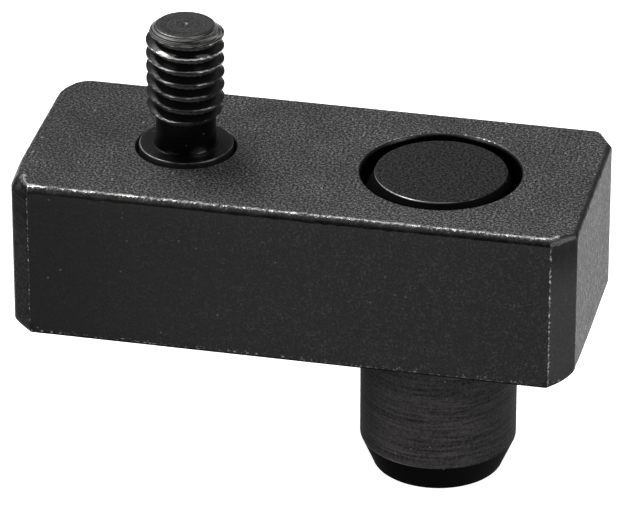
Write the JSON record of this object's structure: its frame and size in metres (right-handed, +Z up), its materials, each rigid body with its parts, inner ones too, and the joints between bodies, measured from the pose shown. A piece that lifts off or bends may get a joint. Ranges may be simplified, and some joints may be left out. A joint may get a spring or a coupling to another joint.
{
  "type": "tool post locating arm",
  "caption": "Oblong steel arm for a lathe tool post, with a large tapered pin below one end and a shoulder screw standing up at the other.",
  "frame": {"origin": "on the locating pin's axis, in the plane of the block's underside", "axes": "+Z up along the pin, from its lower end to the block's top; the arm reaches along -X from the pin to the shoulder screw; +Y across the arm, towards the side whose corner cuts are longer across the arm than along it"},
  "size_m": [0.0572, 0.0246, 0.0462],
  "materials": {
    "arm_black_oxide": "black oxide over a fine blasted and ground surface, worn bright on the edges",
    "pin_black_oxide": "black oxide over a turned surface",
    "screw_black_oxide": "oiled black oxide, thread crests worn bright"
  },
  "bodies": {
    "arm": {"arm_block": "arm_black_oxide", "locating_pin": "pin_black_oxide"},
    "screw": {"shoulder_screw": "screw_black_oxide"}
  },
  "joints": [
    {"name": "screw_turn", "type": "hinge", "parent": "arm", "child": "screw", "pos_m": [-0.026, 0, 0.0121], "axis": [0, 0, 1], "continuous": true}
  ]
}
